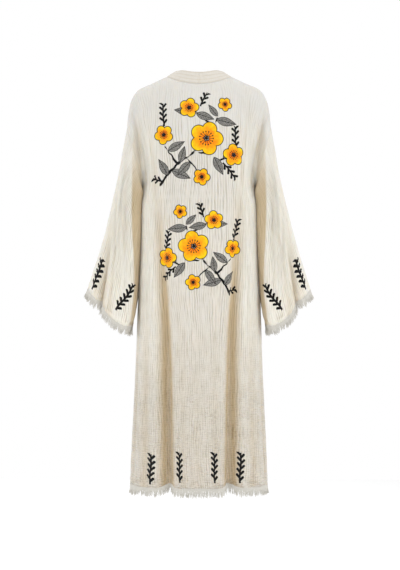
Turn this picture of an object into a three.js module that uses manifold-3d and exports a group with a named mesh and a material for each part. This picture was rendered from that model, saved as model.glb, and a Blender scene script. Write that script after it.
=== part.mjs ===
// An open-fronted kimono robe in crinkled cotton gauze, filled out as if worn, with its arms down.
// Units are millimetres and +Z is up. The front faces -Y and the wearer's left is +X. The origin is
// midway between the two neck points, where the shoulder seams meet the neckband and the wearer's
// shoulders carry the robe. A height is given as "down", the distance below the origin.
//
// Each piece of cloth is a grid of points on its outer side, made a wall by moving the grid inwards.
// Grids that are sewn together share their seam's points and normals, so the walls' ends lie parallel,
// a seam gap apart.
import * as THREE from "three";
import Module from "manifold-3d";

// Cloth
const WALL = 2; // crinkled double gauze
const BAND_WALL = 3; // the neckband is folded cloth
const BAND_PROUD = 0.5; // how far the band's outer side stands above the panels
const BAND_WIDTH = 38;
const SEAM_GAP = 0.3;

// Neck and shoulders
const NECK_HALF_WIDTH = 97;
const NECK_BACK = 62; // how far behind the neck points the nape's seam lies
const NECK_DROP = 28; // how far below the neck points the nape's seam lies
const NECK_CURVE = 2.2; // 1 would be a straight neckline
const SHOULDER = [
  { x: NECK_HALF_WIDTH, down: 0 },
  { x: 142, down: 21 },
  { x: 184, down: 42 },
  { x: 204, down: 76 },
  { x: 211, down: 112 },
  { x: 215, down: 152 },
];

// The body below the arms: half its width, and how far the back and front lie from the middle
const CHEST_DOWN = 330;
const HEM_DOWN = 1221;
const TORSO = [
  { down: CHEST_DOWN, half: 168, back: 112, front: 114 },
  { down: 520, half: 173, back: 112, front: 110 },
  { down: 790, half: 187, back: 118, front: 112 },
  { down: HEM_DOWN, half: 206, back: 132, front: 124 },
];
const SQUARENESS = 0.25; // 0 would make the sections ellipses
const FRONT_EDGE = [
  { down: CHEST_DOWN, x: 64 },
  { down: 600, x: 64 },
  { down: HEM_DOWN, x: 80 },
];

// Flutes that hang from the shoulder blades and the bust. Turn is in degrees round from the middle.
const BACK_FLUTE = [
  { down: CHEST_DOWN, turn: 41, depth: 0, near: 16, far: 26 },
  { down: 480, turn: 40, depth: 9, near: 14, far: 26 },
  { down: 790, turn: 31, depth: 30, near: 13, far: 28 },
  { down: HEM_DOWN, turn: 26, depth: 46, near: 13, far: 32 },
];
const FRONT_FLUTE = [
  { down: CHEST_DOWN, turn: 52, depth: 0, near: 20, far: 18 },
  { down: 480, turn: 53, depth: 8, near: 20, far: 17 },
  { down: 790, turn: 52, depth: 24, near: 22, far: 16 },
  { down: HEM_DOWN, turn: 50, depth: 38, near: 26, far: 16 },
];
const FLUTE_LIFT = 0.4; // the hem rises by this share of a flute's depth
const FLUTE_COLUMN = 7 / 18; // the thread that lies in the back's flute, as a share of the half width

// The crease where the cloth turns in between the body and the arm
const ARM_CREASE = [
  { down: 85, x: 190, depth: 0 },
  { down: 120, x: 178, depth: 12 },
  { down: 165, x: 168, depth: 28 },
  { down: 240, x: 166, depth: 32 },
  { down: 300, x: 167, depth: 12 },
  { down: CHEST_DOWN, x: 168, depth: 0 },
];
const CREASE_WIDTH = 10;
const FRONT_CREASE_SHARE = 0.75;

const ARM_REACH = 109; // how far from the middle they head at the arm
// Where each lengthwise thread heads from the top edge: how far from the middle, and down
const BACK_LEAVES = [
  { along: 0, out: 100, down: 62 },
  { along: 0.33, out: 92, down: 26 },
  { along: 0.6, out: 96, down: 43 },
  { along: 0.8, out: 102, down: 80 },
  { along: 1, out: ARM_REACH, down: 152 },
];
const FRONT_LEAVES = [
  { along: 0, out: 60, down: 8 },
  { along: 0.4, out: 88, down: 42 },
  { along: 0.7, out: 98, down: 82 },
  { along: 1, out: ARM_REACH, down: 152 },
];
const HANG = 150; // and this far above the chest line it hangs straight
const ARM_SIDE_FROM = 0.5; // past this share of the width a thread turns in to the armhole
const ARM_SIDE_CURVE = 2.5;
const ARMHOLE_PULL = 6; // how sharply the threads near the armhole are drawn on to its ring

// Sleeve: the line down from the shoulder, the line down from the underarm, and half the depth
const SLEEVE = [
  { along: 0, top: 215, topDown: 152, under: 168, underDown: CHEST_DOWN, depth: 82 },
  { along: 0.12, top: 224, topDown: 200, under: 177, underDown: 372, depth: 83 },
  { along: 0.32, top: 240, topDown: 290, under: 182, underDown: 452, depth: 84 },
  { along: 0.54, top: 263, topDown: 392, under: 186, underDown: 542, depth: 88 },
  { along: 0.74, top: 290, topDown: 498, under: 189, underDown: 634, depth: 95 },
  { along: 0.9, top: 318, topDown: 588, under: 194, underDown: 710, depth: 102 },
  { along: 1, top: 334, topDown: 638, under: 199, underDown: 754, depth: 106 },
];
const CUFF_LIFT = 0.4; // the cuff rises by this share of a fold's depth
const LEAN_FROM = 0.3; // the full lean is reached at this share of the sleeve
const SLEEVE_LEAN = 34; // how far its inner side leans in, in front of the body's side
// Folds along it: degrees round from the top, by the back, where each starts and ends
const SLEEVE_FOLDS = [
  { from: 0.42, to: 1.5, turn: 48, toTurn: 106, deepest: 1, depth: 34, width: 17 },
  { from: 0.02, to: 0.8, turn: 96, toTurn: 152, deepest: 0.35, depth: 15, width: 17 },
  { from: 0.15, to: 0.95, turn: 12, toTurn: 138, deepest: 0.6, depth: 9, width: 16 },
  { from: 0.3, to: 1.6, turn: 300, toTurn: 262, deepest: 1, depth: 28, width: 18 },
  { from: 0.02, to: 0.8, turn: 262, toTurn: 212, deepest: 0.4, depth: 13, width: 17 },
  { from: 0.2, to: 1.6, turn: 172, toTurn: 176, deepest: 0.7, depth: 11, width: 15 },
];

// Neckband: which way it lies from its seam. Step 0 is the nape, 1 the neck point, 2 the chest line
const BAND_LIES = [
  { step: 0, x: 0, y: -0.25, z: 0.97 },
  { step: 0.6, x: -0.34, y: -0.3, z: 0.88 },
  { step: 1, x: -0.74, y: -0.42, z: 0.52 },
  { step: 1.2, x: -0.9, y: -0.28, z: 0.3 },
  { step: 1.5, x: -0.97, y: -0.2, z: 0.12 },
  { step: 2, x: -0.98, y: -0.2, z: 0 },
  { step: 3, x: -0.98, y: -0.18, z: 0 },
];

// Frayed edges: a narrow strip of cloth, and locks of thread that hang from it
const STRIP = 8;
const LOCK_LENGTH = 19;
const LOCK_WIDTH = 4.2;
const LOCK_THICK = 1.5;
const LOCK_ROOT = 3; // how far a lock's root reaches into the strip
const LOCK_UNEVEN = 0.3; // how much shorter the shortest are, as a share of the longest
const LOCK_TILT = 0.14; // the most that one leans, as a share of its length
const HEM_BACK_LOCKS = 66;
const HEM_FRONT_LOCKS = 30;
const CUFF_LOCKS = 60;

// How finely the cloth is divided
const NECK_COLUMNS = 6;
const SHOULDER_COLUMNS = 12;
const YOKE_ROWS = 16;
const SKIRT_ROWS = 10;
const SLEEVE_ROWS = 11;
const BAND_COLUMNS = 2;

const CREAM = { color: 0xe9e3d6, roughness: 0.95, metalness: 0 };
const FRAY = { color: 0xf1eee6, roughness: 1, metalness: 0 };

const rad = THREE.MathUtils.degToRad;
const point = (x, y, z) => new THREE.Vector3(x, y, z);
const mirrored = (p) => point(-p.x, p.y, p.z);
const bell = (distance, width) => Math.exp(-((distance / width) ** 2));
const ease = (t) => THREE.MathUtils.smoothstep(t, 0, 1);
// A repeatable number from -1 to 1 for each whole number
const scatter = (n) => 2 * THREE.MathUtils.euclideanModulo(Math.sin(n * 12.9898) * 43758.5453, 1) - 1;

// Reads a column of a table at a value of its key, on a smooth curve through its rows.
function read(rows, key, at, column) {
  const last = rows.length - 1;
  let i = 0;
  while (i < last - 1 && rows[i + 1][key] < at) i++;
  const slope = (k) => {
    const a = rows[Math.max(k - 1, 0)];
    const b = rows[Math.min(k + 1, last)];
    return (b[column] - a[column]) / (b[key] - a[key]);
  };
  const [a, b] = [rows[i], rows[i + 1]];
  const gap = b[key] - a[key];
  const t = THREE.MathUtils.clamp((at - a[key]) / gap, 0, 1);
  const bend = t * (1 - t) * gap;
  return (
    a[column] + (b[column] - a[column]) * ease(t) +
    bend * (slope(i) * (1 - t) - slope(i + 1) * t)
  );
}

const shoulderSeam = new THREE.CatmullRomCurve3(SHOULDER.map((r) => point(r.x, 0, -r.down)));
const NECK_SHARE = NECK_COLUMNS / (NECK_COLUMNS + SHOULDER_COLUMNS);

// The back's top edge: the neckline, then the shoulder seam.
function backTop(across) {
  if (across >= NECK_SHARE) return shoulderSeam.getPointAt((across - NECK_SHARE) / (1 - NECK_SHARE));
  const share = across / NECK_SHARE;
  return point(
    NECK_HALF_WIDTH * share,
    NECK_BACK * (1 - share ** NECK_CURVE),
    -NECK_DROP * (1 - share ** 2),
  );
}

const BACK = {
  sign: 1,
  reach: "back",
  flute: BACK_FLUTE,
  leaves: BACK_LEAVES,
  creaseShare: 1,
  top: backTop,
  turn: (across, down) => {
    const drawn = rad(read(BACK_FLUTE, "down", down, "turn")) - (FLUTE_COLUMN * Math.PI) / 2;
    const near = Math.min(across / FLUTE_COLUMN, (1 - across) / (1 - FLUTE_COLUMN));
    return (across * Math.PI) / 2 + drawn * ease(near);
  },
};
const FRONT = {
  sign: -1,
  reach: "front",
  flute: FRONT_FLUTE,
  leaves: FRONT_LEAVES,
  creaseShare: FRONT_CREASE_SHARE,
  top: (across) => shoulderSeam.getPointAt(across),
  turn: (across, down) => {
    const edge = Math.asin(read(FRONT_EDGE, "down", down, "x") / read(TORSO, "down", down, "half"));
    return edge + across * (Math.PI / 2 - edge);
  },
};

// A point of the body below the arms, with the flute that hangs there.
function skirtPoint(face, across, down) {
  const half = read(TORSO, "down", down, "half");
  const reach = read(TORSO, "down", down, face.reach);
  const turn = face.turn(across, down);
  const [s, c] = [Math.sin(turn), Math.cos(turn)];
  const flute = (column) => read(face.flute, "down", down, column);
  const away = (turn - rad(flute("turn"))) * half;
  const depth = flute("depth") * bell(away, away < 0 ? flute("near") : flute("far"));
  const outward = point(s / half, (face.sign * c) / reach, 0).normalize();
  const lift = (FLUTE_LIFT * depth * (down - CHEST_DOWN)) / (HEM_DOWN - CHEST_DOWN);
  return point(
    half * s,
    face.sign * reach * c * (1 + SQUARENESS * s * s),
    lift - down,
  ).addScaledVector(outward, -depth);
}

// The armhole's ring is the sleeve's first one. Turn is 0 at the shoulder and half a turn underneath.
function sleeveRing(along, turn) {
  const at = (column) => read(SLEEVE, "along", along, column);
  const top = point(at("top"), 0, -at("topDown"));
  const under = point(at("under"), 0, -at("underDown"));
  const middle = top.clone().add(under).multiplyScalar(0.5);
  const arm = top.clone().sub(under).multiplyScalar(0.5);
  const depth = at("depth");
  const outward = arm.clone().multiplyScalar(Math.cos(turn) / arm.lengthSq());
  outward.y = Math.sin(turn) / depth;
  outward.normalize();
  const ring = middle.addScaledVector(arm, Math.cos(turn));
  ring.y = depth * Math.sin(turn);
  ring.x += SLEEVE_LEAN * ease(along / LEAN_FROM) * Math.sin(turn) * Math.sin(turn / 2) ** 2;
  return { ring, outward };
}

// A point of the body above the chest line: share is 0 on the top edge and 1 on the chest line.
function yokePoint(face, across, share) {
  const path = (at) => {
    const top = face.top(at);
    const chest = skirtPoint(face, at, CHEST_DOWN);
    const toArm = Math.max(0, (at - ARM_SIDE_FROM) / (1 - ARM_SIDE_FROM)) ** ARM_SIDE_CURVE;
    const leaves = (column) => read(face.leaves, "along", at, column);
    return new THREE.CubicBezierCurve3(
      top,
      point(top.x, face.sign * leaves("out"), -leaves("down")),
      chest.clone().add(point(0, face.sign * ARM_REACH * toArm, HANG * (1 - toArm))),
      chest,
    ).getPoint(share);
  };
  const made = path(across);
  const armhole = sleeveRing(0, face.sign * Math.PI * share).ring;
  made.addScaledVector(armhole.sub(path(1)), across ** ARMHOLE_PULL);
  const crease = (column) => read(ARM_CREASE, "down", -made.z, column);
  if (-made.z > ARM_CREASE[0].down && across < 1)
    made.y -= face.sign * face.creaseShare * crease("depth") * bell(made.x - crease("x"), CREASE_WIDTH);
  return made;
}

// The points of a body panel. Rows run from the top edge to the hem.
function bodyGrid(face, acrosses) {
  const rows = [];
  for (let i = 0; i <= YOKE_ROWS; i++)
    rows.push(acrosses.map((across) => yokePoint(face, across, i / YOKE_ROWS)));
  for (let i = 1; i <= SKIRT_ROWS; i++) {
    const down = CHEST_DOWN + ((HEM_DOWN - CHEST_DOWN) * i) / SKIRT_ROWS;
    rows.push(acrosses.map((across) => skirtPoint(face, across, down)));
  }
  return rows;
}

const steps = (count, from = 0) => Array.from({ length: count + 1 - from }, (_, i) => (i + from) / count);

function backGrid() {
  const half = steps(NECK_COLUMNS + SHOULDER_COLUMNS, 1);
  const left = bodyGrid(BACK, [0, ...half]);
  return left.map((row) => [...row.slice(1).reverse().map(mirrored), ...row]);
}

function sleeveGrid() {
  const count = 2 * YOKE_ROWS;
  return steps(SLEEVE_ROWS).map((along) =>
    steps(count).slice(0, count).map((share) => {
      const turn = 2 * Math.PI * share;
      const { ring, outward } = sleeveRing(along, turn);
      const depth = SLEEVE_FOLDS.reduce((sum, fold) => {
        const way = (along - fold.from) / (fold.to - fold.from);
        if (way <= 0 || way >= 1) return sum;
        const centre = fold.turn + (fold.toTurn - fold.turn) * way;
        const rise = along < fold.deepest
          ? (along - fold.from) / (fold.deepest - fold.from)
          : (fold.to - along) / (fold.to - fold.deepest);
        const off = THREE.MathUtils.radToDeg(turn) - centre;
        const away = THREE.MathUtils.euclideanModulo(off + 180, 360) - 180;
        return sum + fold.depth * ease(rise) * bell(away, fold.width);
      }, 0);
      ring.z += CUFF_LIFT * depth * along ** 2;
      return ring.addScaledVector(outward, -depth);
    }),
  );
}

// Half the neckband: its rows follow the seam from the nape to the hem.
function bandGrid(back, front) {
  const middle = (back[0].length - 1) / 2;
  const nape = back[0].slice(middle, middle + NECK_COLUMNS + 1);
  const seam = [...nape, ...front.slice(1).map((row) => row[0])];
  return seam.map((p, i) => {
    const step = i <= NECK_COLUMNS
      ? i / NECK_COLUMNS
      : i <= NECK_COLUMNS + YOKE_ROWS
        ? 1 + (i - NECK_COLUMNS) / YOKE_ROWS
        : 2 + (i - NECK_COLUMNS - YOKE_ROWS) / SKIRT_ROWS;
    const lies = point(
      read(BAND_LIES, "step", step, "x"),
      read(BAND_LIES, "step", step, "y"),
      read(BAND_LIES, "step", step, "z"),
    ).normalize();
    return steps(BAND_COLUMNS).map((share) => p.clone().addScaledVector(lies, BAND_WIDTH * share));
  });
}

// The narrow strip past an edge: it goes on the way that the cloth's last two rows run.
function stripGrid(grid) {
  const [before, edge] = grid.slice(-2);
  return [edge, edge.map((p, j) => p.clone().addScaledVector(p.clone().sub(before[j]).normalize(), STRIP))];
}

// A piece of cloth: its grid, whether its rows close into rings, and the way that its outer side faces.
function cloth(name, rows, { closed = false, facing = 1, wall = WALL, proud = 0, look = CREAM } = {}) {
  const normals = rows.map((row, i) =>
    row.map((_, j) => {
      const { length } = row;
      const next = (k) => (closed ? (k + length) % length : THREE.MathUtils.clamp(k, 0, length - 1));
      const across = row[next(j + 1)].clone().sub(row[next(j - 1)]);
      const along = rows[Math.min(i + 1, rows.length - 1)][j].clone().sub(rows[Math.max(i - 1, 0)][j]);
      return across.cross(along).normalize().multiplyScalar(facing);
    }),
  );
  return { name, rows, normals, closed, facing, wall, proud, look };
}

// The wearer's right piece, made from the left one.
const otherSide = (piece) =>
  cloth(piece.name.replace("left", "right"), piece.rows.map((row) => row.map(mirrored)), {
    ...piece,
    facing: -piece.facing,
  });

// Gives points that pieces share one normal, so that their walls end on the same plane.
function shareNormals(pieces) {
  const sums = new Map();
  const key = (p) => p.toArray().map((v) => Math.round(v * 100)).join();
  const each = (visit) =>
    pieces.forEach((piece) => piece.rows.forEach((row, i) => row.forEach((p, j) => visit(piece, p, i, j))));
  each((piece, p, i, j) => {
    if (!sums.has(key(p))) sums.set(key(p), point(0, 0, 0));
    sums.get(key(p)).add(piece.normals[i][j]);
  });
  each((piece, p, i, j) => {
    piece.normals[i][j] = sums.get(key(p)).clone().normalize();
  });
}

// The grid with its edges drawn in by half a seam gap.
function drawnIn({ rows, closed }) {
  const last = rows.length - 1;
  return rows.map((row, i) =>
    row.map((p, j) => {
      const moved = p.clone();
      const towards = (q) => moved.addScaledVector(q.clone().sub(p).normalize(), SEAM_GAP / 2);
      if (i === 0) towards(rows[1][j]);
      if (i === last) towards(rows[last - 1][j]);
      if (!closed && j === 0) towards(row[1]);
      if (!closed && j === row.length - 1) towards(row[j - 1]);
      return moved;
    }),
  );
}

// Puts points in one order that is the same on both sides of a seam: by height, then outwards, then back.
const RANK = { x: 0.2, y: 0.05 };
const rank = (p) => p.z + Math.abs(p.x) * RANK.x + p.y * RANK.y;

// The vertices and triangles of a piece's wall.
function wallOf(piece) {
  const rows = drawnIn(piece);
  const [down, across] = [rows.length, rows[0].length];
  const vertices = [];
  for (const offset of [piece.proud, piece.proud - piece.wall])
    rows.forEach((row, i) =>
      row.forEach((p, j) => {
        vertices.push(...p.clone().addScaledVector(piece.normals[i][j], offset).toArray());
      }),
    );
  const triangles = [];
  const at = (side, i, j) => side * down * across + i * across + (j % across);
  // The diagonal goes from a to c, or from b to d where it is turned.
  const quad = (a, b, c, d, turned = false) => {
    const corners = turned ? [b, c, d, b, d, a] : [a, b, c, a, c, d];
    triangles.push(...(piece.facing > 0 ? corners : corners.reverse()));
  };
  // Diagonals lie along the folds: they join the two corners whose normals are more alike.
  const alike = (i, j, k, l) => piece.normals[i][j % across].dot(piece.normals[k][l % across]);
  const spans = piece.closed ? across : across - 1;
  for (let i = 0; i < down - 1; i++)
    for (let j = 0; j < spans; j++) {
      const turned = alike(i, j + 1, i + 1, j) > alike(i, j, i + 1, j + 1);
      quad(at(0, i, j), at(0, i, j + 1), at(0, i + 1, j + 1), at(0, i + 1, j), turned);
      quad(at(1, i, j), at(1, i + 1, j), at(1, i + 1, j + 1), at(1, i, j + 1), turned);
    }
  // Across an end they start from the higher outer corner, so both sides of a seam are cut alike.
  const higher = (i, j, k, l) => rank(rows[k][l % across]) > rank(rows[i][j]);
  const last = down - 1;
  for (let j = 0; j < spans; j++) {
    quad(at(0, 0, j), at(1, 0, j), at(1, 0, j + 1), at(0, 0, j + 1), higher(0, j, 0, j + 1));
    const turned = higher(last, j, last, j + 1);
    quad(at(0, last, j), at(0, last, j + 1), at(1, last, j + 1), at(1, last, j), turned);
  }
  if (!piece.closed)
    for (let i = 0; i < last; i++) {
      const j = across - 1;
      quad(at(0, i, 0), at(0, i + 1, 0), at(1, i + 1, 0), at(1, i, 0), higher(i, 0, i + 1, 0));
      quad(at(0, i, j), at(1, i, j), at(1, i + 1, j), at(0, i + 1, j), higher(i, j, i + 1, j));
    }
  return { vertices, triangles };
}

// A lock's root, as shares of its width and thickness, and its sides: 3 is its tip
const LOCK_CORNERS = [
  [-0.5, -0.5],
  [0.5, -0.5],
  [0, 0.5],
];
const LOCK_SIDES = [
  [0, 2, 1],
  [0, 1, 3],
  [1, 2, 3],
  [2, 0, 3],
];

// The wall of a frayed edge with its locks of thread, three-sided and pointed, fused at their roots.
function frayOf(wasm, piece, count) {
  const solid = ({ vertices, triangles }) => new wasm.Manifold(new wasm.Mesh({
    numProp: 3,
    vertProperties: new Float32Array(vertices),
    triVerts: new Uint32Array(triangles),
  }));
  const edge = drawnIn(piece)[1];
  const from = piece.rows[0];
  const spots = piece.closed ? [...edge, edge[0]] : edge;
  const lengths = [0];
  for (let j = 1; j < spots.length; j++) lengths.push(lengths[j - 1] + spots[j].distanceTo(spots[j - 1]));
  const total = lengths[spots.length - 1];
  const locks = [];
  for (let k = 0; k < count; k++) {
    const at = (total * (k + 0.5)) / count;
    let j = 0;
    while (lengths[j + 1] < at) j++;
    const share = (at - lengths[j]) / (lengths[j + 1] - lengths[j]);
    const other = (j + 1) % edge.length;
    const mix = (a, b) => a.clone().lerp(b, share);
    const along = spots[j + 1].clone().sub(spots[j]).normalize();
    const out = mix(piece.normals[1][j], piece.normals[1][other]).normalize();
    const down = mix(edge[j], edge[other]).sub(mix(from[j], from[other])).normalize();
    const root = mix(edge[j], edge[other])
      .addScaledVector(out, -piece.wall / 2)
      .addScaledVector(down, -LOCK_ROOT);
    const length = LOCK_LENGTH * (1 - (LOCK_UNEVEN * (1 + scatter(k + count))) / 2);
    const lean = point(0, 0, 0)
      .addScaledVector(along, scatter(k) * LOCK_TILT * length)
      .addScaledVector(out, scatter(k + count / 2) * LOCK_TILT * length);
    const corners = LOCK_CORNERS.flatMap(([a, b]) => root.clone()
      .addScaledVector(along, a * LOCK_WIDTH)
      .addScaledVector(out, b * LOCK_THICK)
      .toArray());
    const tip = root.clone().addScaledVector(down, LOCK_ROOT + length).add(lean);
    locks.push(solid({
      vertices: [...corners, ...tip.toArray()],
      triangles: LOCK_SIDES.flatMap(([a, b, c]) => (piece.facing > 0 ? [a, c, b] : [a, b, c])),
    }));
  }
  const made = wasm.Manifold.union([solid(wallOf(piece)), ...locks]).getMesh();
  return { vertices: [...made.vertProperties], triangles: [...made.triVerts] };
}

function meshOf(name, { vertices, triangles }, look) {
  const geometry = new THREE.BufferGeometry()
    .setAttribute("position", new THREE.Float32BufferAttribute(vertices, 3))
    .setIndex(triangles);
  geometry.computeVertexNormals();
  const mesh = new THREE.Mesh(geometry, new THREE.MeshStandardMaterial(look));
  mesh.name = name;
  return mesh;
}

const wasm = await Module();
wasm.setup();

const backRows = backGrid();
const frontRows = bodyGrid(FRONT, steps(SHOULDER_COLUMNS));
const sleeveRows = sleeveGrid();

const back = cloth("back_panel", backRows);
const front = cloth("front_panel_left", frontRows, { facing: -1 });
const sleeve = cloth("sleeve_left", sleeveRows, { closed: true, facing: -1 });
const band = cloth("neckband_left", bandGrid(backRows, frontRows), { wall: BAND_WALL, proud: BAND_PROUD });
const hemBack = cloth("fringe_hem_back", stripGrid(backRows), { look: FRAY });
const hemFront = cloth("fringe_hem_front_left", stripGrid(frontRows), { facing: -1, look: FRAY });
const cuff = cloth("fringe_cuff_left", stripGrid(sleeveRows), { closed: true, facing: -1, look: FRAY });

const walls = [back];
const frays = [{ piece: hemBack, count: HEM_BACK_LOCKS }];
for (const piece of [front, sleeve, band]) walls.push(piece, otherSide(piece));
for (const [piece, count] of [[hemFront, HEM_FRONT_LOCKS], [cuff, CUFF_LOCKS]])
  frays.push({ piece, count }, { piece: otherSide(piece), count });
shareNormals([...walls, ...frays.map(({ piece }) => piece)]);

const kimono = new THREE.Group();
for (const piece of walls) kimono.add(meshOf(piece.name, wallOf(piece), piece.look));
for (const { piece, count } of frays) kimono.add(meshOf(piece.name, frayOf(wasm, piece, count), piece.look));

export default kimono;
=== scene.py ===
"""An open-fronted kimono robe in crinkled double cotton gauze, filled out as if worn.

The cloth is laid on surfaces like those of its solids, and gets its pleats, print, stitching and
frayed threads here. Sizes in the tables are millimetres. The front faces -Y, and the wearer's left
is +X.
"""
import math
import random
from collections import namedtuple
from itertools import accumulate

import bmesh
import bpy
from bpy.props import FloatProperty, FloatVectorProperty, PointerProperty
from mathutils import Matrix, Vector, noise


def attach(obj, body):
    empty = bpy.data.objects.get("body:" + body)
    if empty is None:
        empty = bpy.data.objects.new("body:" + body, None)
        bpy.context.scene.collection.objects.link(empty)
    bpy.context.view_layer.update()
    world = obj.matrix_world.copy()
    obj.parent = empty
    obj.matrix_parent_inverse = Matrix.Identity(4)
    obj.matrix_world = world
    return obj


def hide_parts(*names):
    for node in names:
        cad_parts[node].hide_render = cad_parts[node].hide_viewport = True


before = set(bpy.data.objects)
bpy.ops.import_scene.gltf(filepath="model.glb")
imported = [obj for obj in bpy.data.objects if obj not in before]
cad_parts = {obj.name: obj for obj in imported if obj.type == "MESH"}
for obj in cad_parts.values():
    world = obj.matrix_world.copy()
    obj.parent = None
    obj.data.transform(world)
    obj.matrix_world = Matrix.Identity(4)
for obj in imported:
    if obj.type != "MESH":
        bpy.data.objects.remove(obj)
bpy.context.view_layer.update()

bl_info = {
    "name": "Gauze kimono robe",
    "version": (1, 0, 0),
    "blender": (4, 5, 0),
    "location": "3D View > Sidebar > Robe",
    "description": "Lays, pleats, prints and frays a cotton gauze kimono robe round its solids",
    "category": "Add Mesh",
}

MM = 0.001
BODY = "root"


def linear(hex_colour):
    """An sRGB hex colour as linear red, green, blue and alpha."""
    shares = [(hex_colour >> shift & 255) / 255 for shift in (16, 8, 0)]
    return [c / 12.92 if c <= 0.04045 else ((c + 0.055) / 1.055) ** 2.4 for c in shares] + [1.0]


def clamp(value, low=0.0, high=1.0):
    return min(max(value, low), high)


def ease(t):
    t = clamp(t)
    return t * t * (3 - 2 * t)


def bell(distance, width):
    return math.exp(-((distance / width) ** 2))


class Sizes:
    """A short table of sizes with named columns, read between its rows on a smooth curve."""

    def __init__(self, columns, *rows):
        names = columns.split()
        self.columns = dict(zip(names, zip(*rows)))
        self.keys = self.columns[names[0]]
        self.known = {}

    def at(self, key, name):
        if (key, name) not in self.known:
            self.known[key, name] = self.between(key, name)
        return self.known[key, name]

    def between(self, key, name):
        keys, values = self.keys, self.columns[name]
        last = len(keys) - 1
        i = 0
        while i < last - 1 and keys[i + 1] < key:
            i += 1

        def slope(k):
            a, b = max(k - 1, 0), min(k + 1, last)
            return (values[b] - values[a]) / (keys[b] - keys[a])

        gap = keys[i + 1] - keys[i]
        t = clamp((key - keys[i]) / gap)
        bend = t * (1 - t) * gap
        step = (values[i + 1] - values[i]) * ease(t)
        return values[i] + step + bend * (slope(i) * (1 - t) - slope(i + 1) * t)


# ---- the surfaces that the cloth lies on

NECK_HALF_WIDTH = 97
NECK_BACK = 62  # how far behind the neck points the nape's seam lies
NECK_DROP = 28  # how far below the neck points it lies
NECK_CURVE = 2.2  # 1 would be a straight neckline
NECK_SHARE = 1 / 3  # of the back's half width, along its top edge
SHOULDER_LINE = ((97, 0), (142, 21), (184, 42), (204, 76), (211, 112), (215, 152))  # x, down
SHOULDER_RUNS = list(accumulate(
    (math.dist(a, b) for a, b in zip(SHOULDER_LINE, SHOULDER_LINE[1:])), initial=0))
SHOULDER = Sizes("run x down", *((run, *spot) for run, spot in zip(SHOULDER_RUNS, SHOULDER_LINE)))

CHEST_DOWN = 330
HEM_DOWN = 1221
TORSO = Sizes(
    "down half back front",
    (CHEST_DOWN, 168, 112, 114),
    (380, 175, 112, 113),
    (520, 177, 112, 110),
    (790, 187, 118, 112),
    (HEM_DOWN, 206, 132, 124),
)
SQUARENESS = 0.25  # 0 would make the sections ellipses
CORNER = 0.5  # the sides are squarer than that where the sleeves lie against them
FRONT_EDGE = Sizes("down x", (CHEST_DOWN, 64), (600, 64), (HEM_DOWN, 80))

# The deep flutes: degrees round from the middle, and millimetres
BACK_FLUTE = Sizes(
    "down turn depth near far",
    (CHEST_DOWN, 42, 0, 18, 25),
    (480, 41, 9, 17, 23),
    (790, 32.5, 25, 17, 21),
    (HEM_DOWN, 27.5, 34, 19, 22),
)
FRONT_FLUTE = Sizes(
    "down turn depth near far",
    (CHEST_DOWN, 52, 0, 20, 18),
    (480, 53, 8, 20, 17),
    (790, 52, 24, 22, 16),
    (HEM_DOWN, 50, 38, 26, 16),
)
FLUTE_LIFT = 0.36  # the hem rises by this share of a flute's depth
FLUTE_COLUMN = 7 / 18  # the thread that lies in the back's flute, as a share of the half width

ARM_CREASE = Sizes(
    "down x depth",
    (85, 196, 0), (120, 190, 8), (165, 185, 13), (240, 182, 15), (300, 179, 9),
    (CHEST_DOWN, 174, 0),
)
CREASE_NEAR, CREASE_FAR = 7, 15  # its half widths, towards the body and towards the arm
# Where the shade under the arm ends on the sleeve, and how strong it is
UNDERARM = Sizes(
    "down x shade",
    (130, 192, 0), (165, 194, 0.2), (230, 197, 0.3), (290, 197, 0.65), (370, 199, 1), (460, 198, 1),
    (550, 193, 1), (640, 192, 1), (700, 199, 0.8), (760, 206, 0.6),
)
BODY_EDGE = 171  # where it begins on the back
# The threads leave the shoulder heading for these spots, and hang straight this far above the chest
ARM_REACH = 109
BACK_LEAVES = Sizes(
    "along out down",
    (0, 100, 62), (0.33, 92, 26), (0.6, 96, 43), (0.8, 102, 80), (1, ARM_REACH, 152),
)
FRONT_LEAVES = Sizes(
    "along out down", (0, 60, 8), (0.4, 88, 42), (0.7, 98, 82), (1, ARM_REACH, 152))
HANG = 150
ARM_SIDE_FROM = 0.5  # past this share of the width a thread turns in to the armhole
ARM_SIDE_CURVE = 2.5
ARMHOLE_PULL = 6  # how sharply the threads near the armhole are drawn on to its ring

SLEEVE = Sizes(
    "along top top_down under under_down depth",
    (0, 215, 152, 168, CHEST_DOWN, 82),
    (0.12, 224, 200, 177, 372, 83),
    (0.32, 240, 290, 182, 452, 84),
    (0.54, 263, 392, 186, 542, 88),
    (0.74, 290, 498, 189, 634, 95),
    (0.9, 318, 588, 194, 710, 102),
    (1, 334, 638, 199, 754, 106),
)
CUFF_LIFT = 0.4  # the cuff rises by this share of a fold's depth
LEAN_FROM = 0.3  # the full lean is reached at this share of the sleeve
SLEEVE_LEAN = 34  # how far its inner side leans in, in front of the body's side
# Its lower edge lies this much nearer to the body
UNDERSIDE_IN = Sizes(
    "along by",
    (0, 0), (0.05, 6), (0.12, 8), (0.32, 12), (0.54, 14), (0.74, 14), (0.92, 13), (1, 5),
)
UNDERSIDE_BACK = 42  # and to the back
CUFF_OUT = 8  # and the cuff's front lies this much farther out
SLEEVE_SQUARENESS = 0.25  # the underside hangs flatter than an ellipse, by this much of its power

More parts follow.
